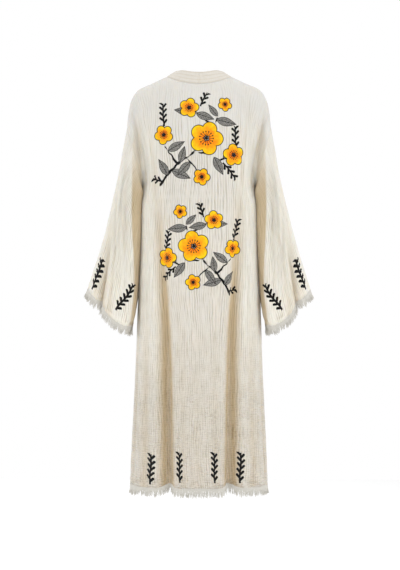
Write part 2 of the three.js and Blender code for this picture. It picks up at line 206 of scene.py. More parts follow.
# Folds: where each starts and ends along the cloth, where its line lies there, where it is deepest,
# its depth and its half width. A negative depth is a ridge.
Fold = namedtuple("Fold", "start end line to_line deepest depth width")
SLEEVE_FOLDS = (  # share of the sleeve; degrees round from its top line, by the back
    Fold(0.42, 1.5, 48, 106, 1, 34, 17),
    Fold(0.02, 0.8, 96, 152, 0.35, 10, 17),
    Fold(0.15, 0.95, 12, 138, 0.6, 9, 16),
    Fold(0.3, 1.6, 300, 262, 1, 28, 18),
    Fold(0.02, 0.8, 262, 212, 0.4, 13, 17),
    Fold(0.2, 1.6, 172, 176, 0.7, 11, 15),
)
SLEEVE_SOFT_FOLDS = (
    Fold(0.25, 1.5, 26, 70, 0.8, 4, 7),
    Fold(0.1, 0.75, 70, 118, 0.4, 2.5, 9),
    Fold(0.5, 1.4, 78, 134, 0.95, 6, 9),
    Fold(0.35, 1.2, 66, 116, 0.8, -3, 7),
    Fold(0.2, 1.3, 330, 290, 0.8, 4, 8),
    Fold(0.3, 1.4, 262, 236, 0.9, 5, 9),
    Fold(0.1, 0.6, 240, 200, 0.35, 4, 9),
)
BACK_SOFT_FOLDS = (  # millimetres down; share of the half width, the wearer's left being positive
    Fold(70, 520, 0.62, 0.4, 300, 3.5, 12),
    Fold(60, 470, -0.58, -0.41, 280, 3, 12),
    Fold(120, 430, 0.84, 0.7, 260, 3, 9),
    Fold(110, 450, -0.86, -0.68, 250, 3.5, 10),
    Fold(360, 1500, 0.2, 0.17, 1100, 3, 15),
    Fold(420, 1500, -0.17, -0.2, 1180, 3.5, 16),
    Fold(520, 1500, 0.03, 0.01, 1150, 2.5, 17),
    Fold(470, 1600, 0.66, 0.64, 1200, 7, 15),
    Fold(520, 1600, -0.63, -0.66, 1200, 6, 16),
    Fold(400, 1500, 0.86, 0.84, 1050, 5, 12),
    Fold(440, 1500, -0.85, -0.86, 1100, 5.5, 12),
)
FRONT_SOFT_FOLDS = (
    Fold(70, 480, 0.6, 0.36, 280, 3.5, 12),
    Fold(200, 700, 0.12, 0.2, 420, 3, 11),
    Fold(430, 1600, 0.22, 0.2, 1180, 5, 14),
    Fold(520, 1600, 0.8, 0.78, 1200, 6, 12),
)
FOLD_FULL = 18  # a fold this deep is wholly shaded

BAND_WIDTH = 38
BAND_PROUD = 0.5  # how far it stands off the surface, and how thick its doubled cloth is
BAND_WALL = 2.8
BAND_LIES = Sizes(
    "step x y z",
    (0, 0, -0.25, 0.97),
    (0.6, -0.34, -0.3, 0.88),
    (1, -0.74, -0.42, 0.52),
    (1.2, -0.9, -0.28, 0.3),
    (1.5, -0.97, -0.2, 0.12),
    (2, -0.98, -0.2, 0),
    (3, -0.98, -0.18, 0),
)
STITCH_ROWS = (3, 13, 24, 35)  # from the seam
STRIP = 2.5  # the frayed edge's last strip of whole cloth
YOKE_RUN = 350  # the cloth from the top edge to the chest line
HALF_BACK_THREADS = 285  # the warp threads' mean spread on half the back
FRONT_THREADS = 185
SLEEVE_THREADS = 290  # and on half a sleeve
SLEEVE_LENGTH = 480  # the cloth from the armhole to the cuff
YOKE_ROWS = 0.38  # the share of a body panel's rows that lie above the chest line
ROWS_LOW = 0.5  # below it they are closer together towards the hem, by this share
CHEST_HALF, CHEST_REACH = 168, 112  # a soft fold goes in square to the chest of these sizes
# The pleats are pressed flat at the shoulders, and come up over the first of these runs of cloth.
# Past the second, the body draws them flatter again over the third.
PRESSED_FREE, PRESSED_FROM, PRESSED_OVER = 330, 640, 300
BAND_STEPS = Sizes("row step", (0, 0), (0.09, 1), (0.34, 2), (1, 3))
BAND_LENGTH = 1400

Face = namedtuple("Face", "sign reach flute leaves crease")
BACK = Face(1, "back", BACK_FLUTE, BACK_LEAVES, 1.0)
FRONT = Face(-1, "front", FRONT_FLUTE, FRONT_LEAVES, 0.75)
# A spot's fold is how much painted shade the cloth takes there, in its folds and under the arm
Spot = namedtuple("Spot", "co fold thread run seam hem pressed", defaults=(1000.0, 1.0))


def shoulder_seam(share):
    run = share * SHOULDER_RUNS[-1]
    return Vector((SHOULDER.at(run, "x"), 0, -SHOULDER.at(run, "down")))


def top_edge(face, across):
    """The neckline and the shoulder seam on the back, and the shoulder seam on a front."""
    if face is FRONT:
        return shoulder_seam(across)
    if across >= NECK_SHARE:
        return shoulder_seam((across - NECK_SHARE) / (1 - NECK_SHARE))
    share = across / NECK_SHARE
    return Vector((
        NECK_HALF_WIDTH * share,
        NECK_BACK * (1 - share ** NECK_CURVE),
        -NECK_DROP * (1 - share ** 2),
    ))


def turn_at(face, across, down):
    if face is FRONT:
        edge = math.asin(FRONT_EDGE.at(down, "x") / TORSO.at(down, "half"))
        return edge + across * (math.pi / 2 - edge)
    drawn = math.radians(BACK_FLUTE.at(down, "turn")) - FLUTE_COLUMN * math.pi / 2
    near = min(across / FLUTE_COLUMN, (1 - across) / (1 - FLUTE_COLUMN))
    return across * math.pi / 2 + drawn * ease(near)


def skirt_point(face, across, down):
    """A point of the body below the arms, and how deep its flute is there."""
    half, reach = TORSO.at(down, "half"), TORSO.at(down, face.reach)
    turn = turn_at(face, across, down)
    s, c = math.sin(turn), math.cos(turn)
    away = (turn - math.radians(face.flute.at(down, "turn"))) * half
    width = face.flute.at(down, "near" if away < 0 else "far")
    depth = face.flute.at(down, "depth") * bell(away, width)
    outward = Vector((s / half, face.sign * c / reach, 0)).normalized()
    lift = FLUTE_LIFT * depth * (down - CHEST_DOWN) / (HEM_DOWN - CHEST_DOWN)
    square = 1 + SQUARENESS * s**2
    if face is BACK:
        square += CORNER * s**8 * ease((down - CHEST_DOWN) / 60) * ease((900 - down) / 150)
    made = Vector((half * s, face.sign * reach * c * square, lift - down))
    return made - outward * depth, depth


def sleeve_ring(along, turn, squareness=0.0):
    """A point of the sleeve without folds, and the way outwards. The first ring is the armhole."""
    top = Vector((SLEEVE.at(along, "top"), 0, -SLEEVE.at(along, "top_down")))
    under = Vector((SLEEVE.at(along, "under"), 0, -SLEEVE.at(along, "under_down")))
    depth = SLEEVE.at(along, "depth")
    arm = (top - under) / 2
    outward = arm * (math.cos(turn) / arm.length_squared)
    outward.y = math.sin(turn) / depth
    ring = (top + under) / 2 + arm * math.cos(turn)
    ring.y = depth * math.copysign(abs(math.sin(turn)) ** (1 - squareness), math.sin(turn))
    ring.x += SLEEVE_LEAN * ease(along / LEAN_FROM) * math.sin(turn) * math.sin(turn / 2) ** 2
    return ring, outward.normalized()


def yoke_point(face, across, share):
    """A point above the chest line, from 0 on the top edge to 1 on it, and its painted shade under the
    arm.
    """

    def path(at):
        top = top_edge(face, at)
        chest = skirt_point(face, at, CHEST_DOWN)[0]
        to_arm = max(0, (at - ARM_SIDE_FROM) / (1 - ARM_SIDE_FROM)) ** ARM_SIDE_CURVE
        leaves = Vector((top.x, face.sign * face.leaves.at(at, "out"), -face.leaves.at(at, "down")))
        hangs = chest + Vector((0, face.sign * ARM_REACH * to_arm, HANG * (1 - to_arm)))
        t, u = share, 1 - share
        return u**3 * top + 3 * u * u * t * leaves + 3 * u * t * t * hangs + t**3 * chest

    armhole = sleeve_ring(0, face.sign * math.pi * share)[0]
    made = path(across) + (armhole - path(1)) * across ** ARMHOLE_PULL
    down = -made.z
    if down <= ARM_CREASE.keys[0] or across >= 1:
        return made, 0
    away = made.x - ARM_CREASE.at(down, "x")
    depth = ARM_CREASE.at(down, "depth") * bell(away, CREASE_NEAR if away < 0 else CREASE_FAR)
    made.y -= face.sign * face.crease * depth
    shaded = ease((made.x - BODY_EDGE + 3) / 6) * ease((UNDERARM.at(down, "x") - made.x + 3) / 6)
    return made, FOLD_FULL * UNDERARM.at(down, "shade") * shaded


def fold_depth(folds, place, along, span, scale):
    """How deep these folds are together. Span is 360 where the lines go round, or 0."""
    total = 0
    for fold in folds:
        way = (along - fold.start) / (fold.end - fold.start)
        if not 0 < way < 1:
            continue
        line = fold.line + (fold.to_line - fold.line) * way
        near = (along - fold.start) / (fold.deepest - fold.start)
        rise = near if along < fold.deepest else (fold.end - along) / (fold.end - fold.deepest)
        away = place - line
        if span:
            away = (away + span / 2) % span - span / 2
        total += fold.depth * ease(rise) * bell(away * scale, fold.width)
    return total


# ---- the cloth's own relief

def wander(place, along, spread, length, seed):
    return noise.noise(Vector((place / spread, along / length, seed)))


def pleats(thread, run, pitch, seed):
    """The pleats that the finish sets in the gauze, from -1 to 1: they wander, fork and die out."""
    moved = thread + 1.4 * pitch * wander(thread, run, 55, 120, seed)
    moved += 0.35 * pitch * wander(thread, run, 17, 26, seed + 3)
    even = math.sin(2 * math.pi * moved / pitch)
    even *= 0.8 + 0.6 * wander(thread, run, 16, 70, seed + 5)
    uneven = wander(moved, run, pitch * 0.5, 55, seed + 9)
    return clamp(0.75 * even + 0.7 * uneven, -1.2, 1.2)


def relief(spot, sizes, seed):
    """How far the cloth stands off its surface, and how high it lies in its pleats, from -1 to 1.

    It is slowly uneven under the pleats, and wrinkled along the weft just above a frayed edge.
    """
    near_seam = ease(spot.seam / 7)
    # The gauze is slowly uneven over a hand's breadth, and again over a finger's
    slow = 1.3 * wander(spot.thread, spot.run, 60, 210, seed + 2)
    slow += 0.6 * wander(spot.thread, spot.run, 22, 34, seed + 4)
    wrinkle = bell(spot.hem - 13, 11) * wander(spot.hem, spot.thread, 3.6, 34, seed + 7)
    pleat = pleats(spot.thread, spot.run, sizes.pleat_pitch / MM, seed)
    pleat *= 1 - 0.6 * bell(spot.hem, 16)
    pleat *= spot.pressed
    height = sizes.pleat_depth / MM * pleat + 3.0 * wrinkle
    return near_seam * (height + slow) - 0.15 * bell(spot.seam, 2.2), near_seam * (pleat + wrinkle)


# ---- making pieces

def body_place(face, folds, side=1):
    """How a body panel lies: a function of the share across and the share of its rows."""
    reach = HALF_BACK_THREADS if face is BACK else FRONT_THREADS

    def place(across, row):
        signed = 2 * across - 1 if face is BACK else across
        half = abs(signed)
        hand = side if face is FRONT else (1 if signed >= 0 else -1)
        if row <= YOKE_ROWS:
            share = row / YOKE_ROWS
            co, fold = yoke_point(face, half, share)
            run = YOKE_RUN * share
        else:
            share = (row - YOKE_ROWS) / (1 - YOKE_ROWS)
            down = CHEST_DOWN + (HEM_DOWN - CHEST_DOWN) * share * (1 + ROWS_LOW * (1 - share))
            co, fold = skirt_point(face, half, down)
            run = YOKE_RUN + down - CHEST_DOWN
        down = -co.z
        depth = fold_depth(folds, signed, down, 0, reach)
        inward = Vector((-co.x / CHEST_HALF, -co.y / CHEST_REACH, 0)).normalized()
        top_fade = ease(run / 60)
        co = co + inward * depth * top_fade * ease((1 - half) * 12)
        seam = min((1 - half) * reach, run)
        if face is FRONT:
            seam = min(seam, half * reach)
        co.x *= hand
        hem = YOKE_RUN + HEM_DOWN - CHEST_DOWN - run
        pressed = 0.15 + 0.85 * ease(run / PRESSED_FREE)
        pressed *= 1 - 0.35 * ease((run - PRESSED_FROM) / PRESSED_OVER)
        # Painted shade: full in the flutes but less where they are deepest, with the soft folds and
        # under the arm
        shade = min(fold / FOLD_FULL, 1) - 0.3 * ease((fold - 20) / 10) + max(depth, 0) / FOLD_FULL
        return Spot(co, shade, signed * reach, run, seam, hem, pressed)

    return place


def sleeve_place(side):
    """How a sleeve lies: across it runs once round, from the underside by the front."""

    def place(across, row):
        degrees = 180 * (2 * across - 1)
        flatter = SLEEVE_SQUARENESS * ease(row / LEAN_FROM) if abs(degrees) > 90 else 0.0
        co, outward = sleeve_ring(row, math.radians(degrees), flatter)
        depth = fold_depth(SLEEVE_FOLDS, degrees, row, 360, 1)
        soft = fold_depth(SLEEVE_SOFT_FOLDS, degrees, row, 360, 1)
        co.z += CUFF_LIFT * depth * row**2
        co -= outward * (depth + soft)
        # Past 120 degrees from the top line the cloth is shifted as the underside is. At the front the
        # shift inwards is kept to the last 15 degrees, and the cuff is shifted outwards.
        turned = ease((abs(degrees) - 120) / 60) * ease(row / 0.045)
        cuff = ease((row - 0.75) / 0.25)
        inwards = turned if degrees > 0 else turned * ease((abs(degrees) - 165) / 15)
        co.x -= UNDERSIDE_IN.at(row, "by") * inwards
        co.y += UNDERSIDE_BACK * turned
        if degrees < 0:
            co.x += CUFF_OUT * cuff * ease((abs(degrees) - 90) / 45)
        co.x *= side
        run = row * SLEEVE_LENGTH
        seam = min((180 - abs(degrees)) / 180 * SLEEVE_THREADS, run)
        # Painted shade: the sleeve's folds, and under the arm as far as the underarm's edge
        edge = UNDERARM.at(-co.z, "x")
        under = UNDERARM.at(-co.z, "shade") * ease((edge - abs(co.x) + 3) / 6)
        fold = (0.25 * depth + max(soft, 0)) / FOLD_FULL + under
        pressed = 0.95 * (0.35 + 0.65 * ease(row / 0.2))
        thread = degrees / 180 * SLEEVE_THREADS
        return Spot(co, fold, thread, run, seam, SLEEVE_LENGTH * (1 - row), pressed)

    return place


def band_place(side):
    """The band lies inwards from the neckline and the front edge: row 0 is the centre back."""

    def seam_at(step):
        if step <= 1:
            return top_edge(BACK, NECK_SHARE * step)
        if step <= 2:
            return yoke_point(FRONT, 0, step - 1)[0]
        return skirt_point(FRONT, 0, CHEST_DOWN + (HEM_DOWN - CHEST_DOWN) * (step - 2))[0]

    def place(across, row):
        keys, values = BAND_STEPS.keys, BAND_STEPS.columns["step"]
        i = next(k for k in range(3) if row <= keys[k + 1] or k == 2)
        step = values[i] + (values[i + 1] - values[i]) * (row - keys[i]) / (keys[i + 1] - keys[i])
        lies = Vector([BAND_LIES.at(step, axis) for axis in "xyz"]).normalized()
        co = seam_at(step) + lies * BAND_WIDTH * across
        co.x *= side
        edge = BAND_WIDTH * min(across, 1 - across)
        return Spot(co, 0, BAND_WIDTH * across, BAND_LENGTH * row, edge)

    return place


def band_relief(spot, seed):
    """The band is drawn in at each row of stitches, puckers between, and rolls over at its edge."""
    near = min(abs(spot.thread - row) for row in STITCH_ROWS)
    pucker = 0.35 * wander(spot.thread, spot.run, 9, 4.5, seed) * ease(near / 4)
    return BAND_PROUD + 0.45 * ease(near / 4) - 0.35 + pucker - 0.8 * bell(spot.seam, 1.4), 0


def lay_cloth(columns, rows, place, lift, flip, hand=1, middle=0, closed=False, level=None):
    """A grid laid on a surface. It keeps its folds' painted shade, and its real lengths as a UV map.

    Level is the height of a hem that hangs level but for where folds lift it.
    Returns the bmesh, and the last row as (point, way down, way out).
    """
    bm = bmesh.new()
    bmesh.ops.create_grid(bm, x_segments=columns, y_segments=rows, size=1)
    bm.verts.ensure_lookup_table()
    fold = bm.verts.layers.float.new("fold")
    pleat = bm.verts.layers.float.new("pleat")
    stands_off = bm.verts.layers.float.new("stands_off")
    cloth_map = bm.loops.layers.uv.new("cloth")
    thread_map = bm.loops.layers.uv.new("threads")
    wide = columns + 1
    lattice = [[bm.verts[j * wide + i] for i in range(wide)] for j in reversed(range(rows + 1))]
    threads = {}
    for j, row in enumerate(lattice):
        for i, vert in enumerate(row):
            spot = place(i / columns, j / rows)
            vert.co = spot.co * MM
            vert[fold] = clamp(spot.fold)
            vert[stands_off], vert[pleat] = lift(spot)
            threads[vert.index] = (spot.thread * MM, spot.run * MM)
    start = round(middle * columns)
    lengths = {}
    for row in lattice:
        gaps = [(a.co - b.co).length for a, b in zip(row, row[1:])]
        runs = list(accumulate(gaps, initial=0))
        for i, vert in enumerate(row):
            lengths[vert.index] = [hand * (runs[i] - runs[start]), 0]
    for i in range(wide):
        up = 0 if level is None else lattice[rows][i].co.z - level
        lengths[lattice[rows][i].index][1] = up
        for j in reversed(range(rows)):
            up += (lattice[j][i].co - lattice[j + 1][i].co).length
            lengths[lattice[j][i].index][1] = up
    for face in bm.faces:
        for loop in face.loops:
            loop[cloth_map].uv = lengths[loop.vert.index]
            loop[thread_map].uv = threads[loop.vert.index]
    last, before = lattice[-1], lattice[-2]
    downs = [(a.co - b.co).normalized() for a, b in zip(last, before)]
    if flip:
        bmesh.ops.reverse_faces(bm, faces=bm.faces[:])
    if closed:
        bmesh.ops.weld_verts(bm, targetmap={row[-1]: row[0] for row in lattice})
        last, downs = last[:-1], downs[:-1]
    bm.normal_update()
    moves = [(vert, vert.normal.copy()) for vert in bm.verts]
    for vert, normal in moves:
        vert.co += normal * vert[stands_off] * MM
    edge = [(vert.co.copy(), down, vert.normal.copy()) for vert, down in zip(last, downs)]
    bm.verts.layers.float.remove(stands_off)
    return bm, edge


def make_object(name, bm, materials):
    old = bpy.data.objects.get(name)
    if old:
        bpy.data.objects.remove(old)
    mesh = bpy.data.meshes.new(name)
    bm.to_mesh(mesh)
    bm.free()
    for material in materials:
        mesh.materials.append(material)
    mesh.shade_smooth()
    piece = bpy.data.objects.new(name, mesh)
    bpy.context.scene.collection.objects.link(piece)
    return piece


def give_wall(piece, thickness, inner_slot):
    wall = piece.modifiers.new("Wall", "SOLIDIFY")
    wall.thickness = thickness
    wall.offset = -1
    wall.material_offset = wall.material_offset_rim = inner_slot


def stands_for(piece, node):
    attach(piece, BODY)
    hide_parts(node)


def make_sheet(node, bm, materials, wall):
    """A sheet of cloth with its wall, whose inside and rim have the last of its materials."""
    piece = make_object("gauze_" + node, bm, materials)
    give_wall(piece, wall, len(materials) - 1)
    stands_for(piece, node)
    return piece


def edge_strip(edge, closed):
    """The frayed edge's strip of cloth, which carries on from the last row of its panel."""
    bm = bmesh.new()
    columns = len(edge) if closed else len(edge) - 1
    bmesh.ops.create_grid(bm, x_segments=columns, y_segments=2, size=1)
    bm.verts.ensure_lookup_table()
    bm.verts.layers.float.new("fold")
    maps = [bm.loops.layers.uv.new(name) for name in ("cloth", "threads")]
    wide = columns + 1
    for j in range(3):
        for i in range(wide):
            co, down, _ = edge[i % len(edge)]
            bm.verts[(2 - j) * wide + i].co = co + down * STRIP * MM * j / 2
    for face in bm.faces:
        for loop in face.loops:
            i, j = loop.vert.index % wide, loop.vert.index // wide
            for layer in maps:
                loop[layer].uv = (i * 1.6 * MM, -STRIP * MM * (2 - j) / 2)
    if closed:
        bmesh.ops.weld_verts(bm, targetmap={
            bm.verts[j * wide + columns]: bm.verts[j * wide] for j in range(3)})
    return bm


# How far the locks vary: their width and length as shares, and their lean aside and outwards
LOCK_WIDE, LOCK_LONG, LOCK_ASIDE, LOCK_OUT = (0.55, 1.5), (0.86, 1.0), (-0.16, 0.16), (-0.12, 0.16)
# And the threads in them: their length, their pull to the lock's middle, their own lean and curl
THREAD_LONG, THREAD_PULL = (0.66, 1.06), (0, 0.5)
THREAD_LEAN, THREAD_CURL = (-0.1, 0.1), (-0.07, 0.07)
THREAD_BENDS = (0.0, 0.3, 0.66, 1.0)  # where a thread has points, as shares of its length


def thread_paths(edge, closed, sizes, draw):
    """Where each loose thread runs: they gather in uneven locks that each lean their own way."""
    ring = edge + edge[:1] if closed else edge
    runs = list(accumulate(((b[0] - a[0]).length for a, b in zip(ring, ring[1:])), initial=0))
    total = runs[-1]
    locks = []
    at = 0
    while at < total:
        width = sizes.lock_width * draw.uniform(*LOCK_WIDE)
        varied = (draw.uniform(*spread) for spread in (LOCK_LONG, LOCK_ASIDE, LOCK_OUT))
        locks.append((at, min(at + width, total), *varied))
        at += width
    paths = []
    i = 0
    for first, end, long, aside, outward in locks:
        count = max(2, round((end - first) / sizes.thread_pitch))
        middle = (first + end) / 2
        for k in range(count):
            at = first + (end - first) * (k + draw.uniform(0.2, 0.8)) / count
            while i < len(runs) - 2 and runs[i + 1] < at:
                i += 1
            while i > 0 and runs[i] > at:
                i -= 1
            share = clamp((at - runs[i]) / (runs[i + 1] - runs[i]))
            (co_a, down_a, out_a), (co_b, down_b, out_b) = ring[i], ring[i + 1]
            root = co_a.lerp(co_b, share)
            down = down_a.lerp(down_b, share).normalized()
            out = out_a.lerp(out_b, share).normalized()
            sideways = (co_b - co_a).normalized()
            length = sizes.thread_length * long * draw.uniform(*THREAD_LONG)
            pull = (middle - at) * draw.uniform(*THREAD_PULL)
            bend = length * (aside + draw.uniform(*THREAD_LEAN))
            fall = length * (outward + draw.uniform(*THREAD_LEAN))
            curl = length * draw.uniform(*THREAD_CURL)
            path = []
            start = -0.06 - 0.16 * draw.random()  # its root lies hidden in the strip
            for t in (start, *THREAD_BENDS):
                reach = max(t, 0)
                spot = root + down * (STRIP * MM + length * t) - out * sizes.wall / 4
                spot += sideways * (pull * ease(reach * 1.4) + bend * reach**2)
                spot += sideways * curl * math.sin(reach * 6.3)
                spot += out * (fall * reach**2)
                path.append(spot)
            paths.append(path)
    return paths


def thread_mesh(paths, thickness):
    """Every loose thread as one mesh of four-sided strands that thin towards their tips."""
    curve = bpy.data.curves.new("threads", "CURVE")
    curve.dimensions = "3D"
    curve.bevel_depth = thickness / 2
    curve.bevel_resolution = 0
    curve.use_fill_caps = True
    for path in paths:
        spline = curve.splines.new("POLY")
        spline.points.add(len(path) - 1)
        for k, (point, spot) in enumerate(zip(spline.points, path)):
            point.co = (*spot, 1)
            point.radius = 1.15 - 0.16 * k
    holder = bpy.data.objects.new("threads", curve)
    mesh = bpy.data.meshes.new_from_object(holder)
    bpy.data.objects.remove(holder)
    bpy.data.curves.remove(curve)
    return mesh


def make_fringe(node, edge, closed, flip, sizes, seed, materials):
    bm = edge_strip(edge, closed)
    if flip:
        bmesh.ops.reverse_faces(bm, faces=bm.faces[:])
    bmesh.ops.solidify(bm, geom=bm.faces[:], thickness=sizes.wall)
    bmesh.ops.recalc_face_normals(bm, faces=bm.faces[:])
    paths = thread_paths(edge, closed, sizes, random.Random(seed))
    threads = thread_mesh(paths, sizes.thread_thickness)
    count = len(bm.faces)
    bm.from_mesh(threads)
    bm.faces.ensure_lookup_table()
    for face in bm.faces[count:]:
        face.material_index = 1
    bpy.data.meshes.remove(threads)
    piece = make_object(node.replace("fringe", "frayed"), bm, materials)
    stands_for(piece, node)
    return piece


# ---- materials

def add(tree, kind, inputs=(), output=0, **settings):
    """Adds a node with its settings and links, and gives back one of its outputs.

    A kind in capitals is an operation of the maths node, or after VECTOR of the vector maths node.
    """
    if kind.isupper():
        *vector, settings["operation"] = kind.split()
        kind = "VectorMath" if vector else "Math"
    node = tree.nodes.new("ShaderNode" + kind)
    for name, value in settings.items():
        setattr(node, name, value)
    for key, value in inputs.items() if isinstance(inputs, dict) else enumerate(inputs):
        if isinstance(value, bpy.types.NodeSocket):
            tree.links.new(value, node.inputs[key])
        else:
            node.inputs[key].default_value = value
    return node.outputs[output]


def work(tree, value, *steps):
    """Takes a value through one node after another, each given with its further inputs."""
    for kind, *others in steps:
        value = add(tree, kind, (value, *others))
    return value


def new_group(name, inputs, outputs):
    """A node group, the sockets that it is given, and the sockets that it makes."""
    tree = bpy.data.node_groups.new(name, "ShaderNodeTree")
    for socket, kind in inputs.items():
        tree.interface.new_socket(socket, in_out="INPUT", socket_type="NodeSocket" + kind)
    for socket in outputs:
        tree.interface.new_socket(socket, in_out="OUTPUT", socket_type="NodeSocketFloat")
    return tree, tree.nodes.new("NodeGroupInput").outputs, tree.nodes.new("NodeGroupOutput").inputs


TWIG_TAPER = -0.4  # a twig's tip is thinner than its foot by this share


def twig_group():
    """A stroke from a point along a span, thinner or thicker at its end: how far off it is."""
    inputs = dict.fromkeys(("Place", "From", "Span"), "Vector")
    inputs |= dict.fromkeys(("Half", "Taper"), "Float")
    tree, given, made = new_group("Stroke", inputs, ["Distance"])
    away = add(tree, "VECTOR SUBTRACT", (given["Place"], given["From"]))
    reach = add(tree, "VECTOR DOT_PRODUCT", (away, given["Span"]), 1)
    full = add(tree, "VECTOR DOT_PRODUCT", (given["Span"], given["Span"]), 1)
    share = add(tree, "DIVIDE", (reach, full), use_clamp=True)
    near = add(tree, "VECTOR SCALE", {0: given["Span"], "Scale": share})
    off = add(tree, "VECTOR DISTANCE", (away, near), 1)
    taper = add(tree, "MULTIPLY_ADD", (share, given["Taper"], 1.0))
    half = add(tree, "MULTIPLY", (given["Half"], taper))
    tree.links.new(add(tree, "SUBTRACT", (off, half)), made["Distance"])
    return tree


SPRIG_PITCH = 16.5  # from one leaf to the next on the same side
SPRIG_STEM = 2.5
LEAF_TILT = math.radians(41)


def cut(tree, off, place, low, high):
    """How far off a shape's outline is, once the shape ends at low and at high."""
    below = add(tree, "SUBTRACT", (low, place))
    above = add(tree, "SUBTRACT", (place, high))
    return work(tree, off, ("MAXIMUM", below), ("MAXIMUM", above))


def sprig_group(sizes, stroke):
    """A stem with rounded leaves by turns on either side: how far off its outline is, in mm."""
    inputs = {"Place": "Vector", "Height": "Float"}
    tree, given, made = new_group("Leaf sprig", inputs, ["Distance"])
    half = sizes.leaf_width / MM / 2
    reach = sizes.leaf_length / MM - half
    y = add(tree, "SeparateXYZ", (given["Place"],)).node.outputs[1]
    bend = add(tree, "SINE", (add(tree, "MULTIPLY", (y, 1 / 13)),))
    x = add(tree, "MULTIPLY_ADD", (bend, 1.2, y.node.outputs[0]))
    off = add(tree, "ABSOLUTE", (x,))
    right = add(tree, "GREATER_THAN", (x, 0.0))
    shifted = work(tree, right, ("MULTIPLY_ADD", SPRIG_PITCH / 2, y), ("SUBTRACT", 14.0))
    cell = add(tree, "FLOORED_MODULO", (shifted, SPRIG_PITCH))
    start = add(tree, "SUBTRACT", (shifted, cell))
    leaf = add(tree, "Group", {
        "Place": add(tree, "CombineXYZ", (off, cell)), "From": (0, 1.5, 0), "Taper": 0.38,
        "Span": (reach * math.sin(LEAF_TILT), reach * math.cos(LEAF_TILT), 0), "Half": half / 1.38,
    }, node_tree=stroke)
    # The last leaf starts 15 mm below the top, the stem ends 6 mm below it and the leaves at 3 mm
    last, stem_top, top = (add(tree, "SUBTRACT", (given["Height"], by)) for by in (15.0, 6.0, 3.0))
    leaf = cut(tree, leaf, start, -1.0, last)
    leaf = add(tree, "MAXIMUM", (leaf, add(tree, "SUBTRACT", (y, top))))
    stem = cut(tree, add(tree, "SUBTRACT", (off, SPRIG_STEM)), y, 0.0, stem_top)
    tree.links.new(add(tree, "MINIMUM", (leaf, stem)), made["Distance"])
    return tree


def leaf_group():
    """A broad pointed leaf along +X: how much of it there is, and its outline and veins."""
    inputs = {"Place": "Vector", "Length": "Float"}
    tree, given, made = new_group("Broad leaf", inputs, ["Leaf", "Lines"])
    x = add(tree, "SeparateXYZ", (given["Place"],))
    y = add(tree, "ABSOLUTE", (x.node.outputs[1],))
    share = add(tree, "DIVIDE", (x, given["Length"]), use_clamp=True)
    blunt = add(tree, "POWER", (share, 0.8))
    swell = work(tree, blunt, ("MULTIPLY", math.pi), ("SINE",))
    half = work(tree, swell, ("MULTIPLY", given["Length"]), ("MULTIPLY", 0.21))
    off = cut(tree, add(tree, "SUBTRACT", (y, half)), x, 0.0, given["Length"])
    leaf = add(tree, "MapRange", (off, 0.4, -0.4))
    edge = add(tree, "ABSOLUTE", (off,))
    slant = add(tree, "MULTIPLY_ADD", (y, -1.3, x))
    vein = work(tree, slant, ("PINGPONG", 4.4), ("ADD", 0.35))
    lines = work(tree, y, ("MINIMUM", vein), ("MINIMUM", edge), ("MapRange", 1.2, 0.5))
    reach = add(tree, "MapRange", (off, 1.2, 0.4))
    tree.links.new(leaf, made["Leaf"])
    tree.links.new(add(tree, "MULTIPLY", (lines, reach)), made["Lines"])
    return tree


PETALS = 5
STAMENS = 15


def blossom_group():
    """A five-petalled blossom: its petals, its outline and stamens, and the glow within."""
    inputs = {"Place": "Vector", "Radius": "Float"}
    tree, given, made = new_group("Blossom", inputs, ["Petals", "Lines", "Glow"])
    x = add(tree, "SeparateXYZ", (given["Place"],))
    angle = add(tree, "ARCTAN2", (x.node.outputs[1], x))
    radius = add(tree, "VECTOR LENGTH", (given["Place"],), 1)
    share = add(tree, "DIVIDE", (radius, given["Radius"]))
    spots = []
    for count in (PETALS, STAMENS):
        sector = 2 * math.pi / count
        turn = work(tree, angle, ("FLOORED_MODULO", sector), ("SUBTRACT", sector / 2))
        side = add(tree, "SINE", (turn,))
        ahead = add(tree, "COSINE", (turn,))
        side = add(tree, "MULTIPLY", (side, share))
        ahead = add(tree, "MULTIPLY", (ahead, share))
        spots.append((ahead, add(tree, "CombineXYZ", (ahead, side)), side))
    petal = add(tree, "VECTOR DISTANCE", (spots[0][1], (0.57, 0, 0)), 1)
    petal = work(tree, petal, ("SUBTRACT", 0.43), ("MULTIPLY", given["Radius"]))
    petals = add(tree, "MapRange", (petal, 0.5, -0.5))
    edge = work(tree, petal, ("ABSOLUTE",), ("MapRange", 1.5, 0.9))
    ray = work(tree, spots[1][2], ("ABSOLUTE",), ("MULTIPLY", given["Radius"]),
               ("MapRange", 0.9, 0.4))
    inside = add(tree, "MapRange", (share, 0.38, 0.36))
    ray = add(tree, "MULTIPLY", (ray, inside))
    dot = add(tree, "VECTOR DISTANCE", (spots[1][1], (0.4, 0, 0)), 1)
    dot = add(tree, "MapRange", (dot, 0.048, 0.036))
    heart = add(tree, "MapRange", (share, 0.11, 0.09))
    lines = work(tree, edge, ("MAXIMUM", ray), ("MAXIMUM", dot), ("MAXIMUM", heart))
    glow = add(tree, "MapRange", (share, 1.0, 0.25))
    for name, value in (("Petals", petals), ("Lines", lines), ("Glow", glow)):
        tree.links.new(value, made[name])
    return tree


